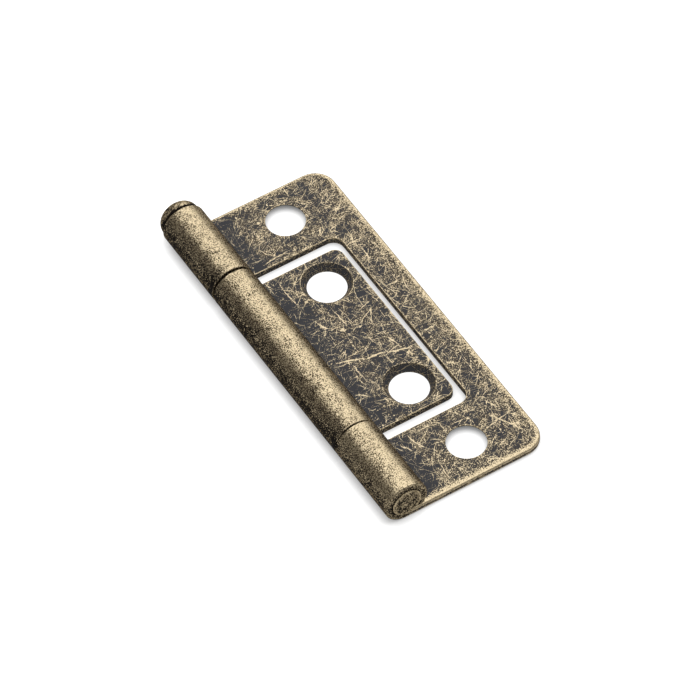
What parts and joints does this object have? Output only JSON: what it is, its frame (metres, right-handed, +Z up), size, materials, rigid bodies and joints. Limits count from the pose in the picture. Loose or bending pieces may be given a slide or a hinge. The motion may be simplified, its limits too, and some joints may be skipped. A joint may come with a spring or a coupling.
{
  "type": "bifold door hinge",
  "caption": "Non-mortise butt hinge of antiqued sheet metal: a tongue leaf folds into the window of a frame leaf on one rolled barrel, with countersunk screw holes in both leaves.",
  "frame": {"origin": "on the underside plane of both leaves, straight below the pin axis, at the middle of the hinge's length", "axes": "+X from the pin axis to the free edge of the closed leaves, +Y along the pin towards its head, +Z up from the leaves' underside towards the barrel"},
  "size_m": [0.034, 0.0798, 0.0086],
  "materials": {
    "antique_brass_leaf": "sheet steel plated in antique brass, dark patina with burnished scratches and edges",
    "antique_brass_pin": "steel plated in antique brass, speckled and burnished"
  },
  "bodies": {
    "outer": {"outer_leaf": "antique_brass_leaf", "hinge_pin": "antique_brass_pin"},
    "inner": {"inner_leaf": "antique_brass_leaf"}
  },
  "joints": [
    {"name": "leaf_swing", "type": "hinge", "parent": "outer", "child": "inner", "pos_m": [0, 0, 0.00428], "axis": [0, -1, 0], "continuous": true}
  ]
}
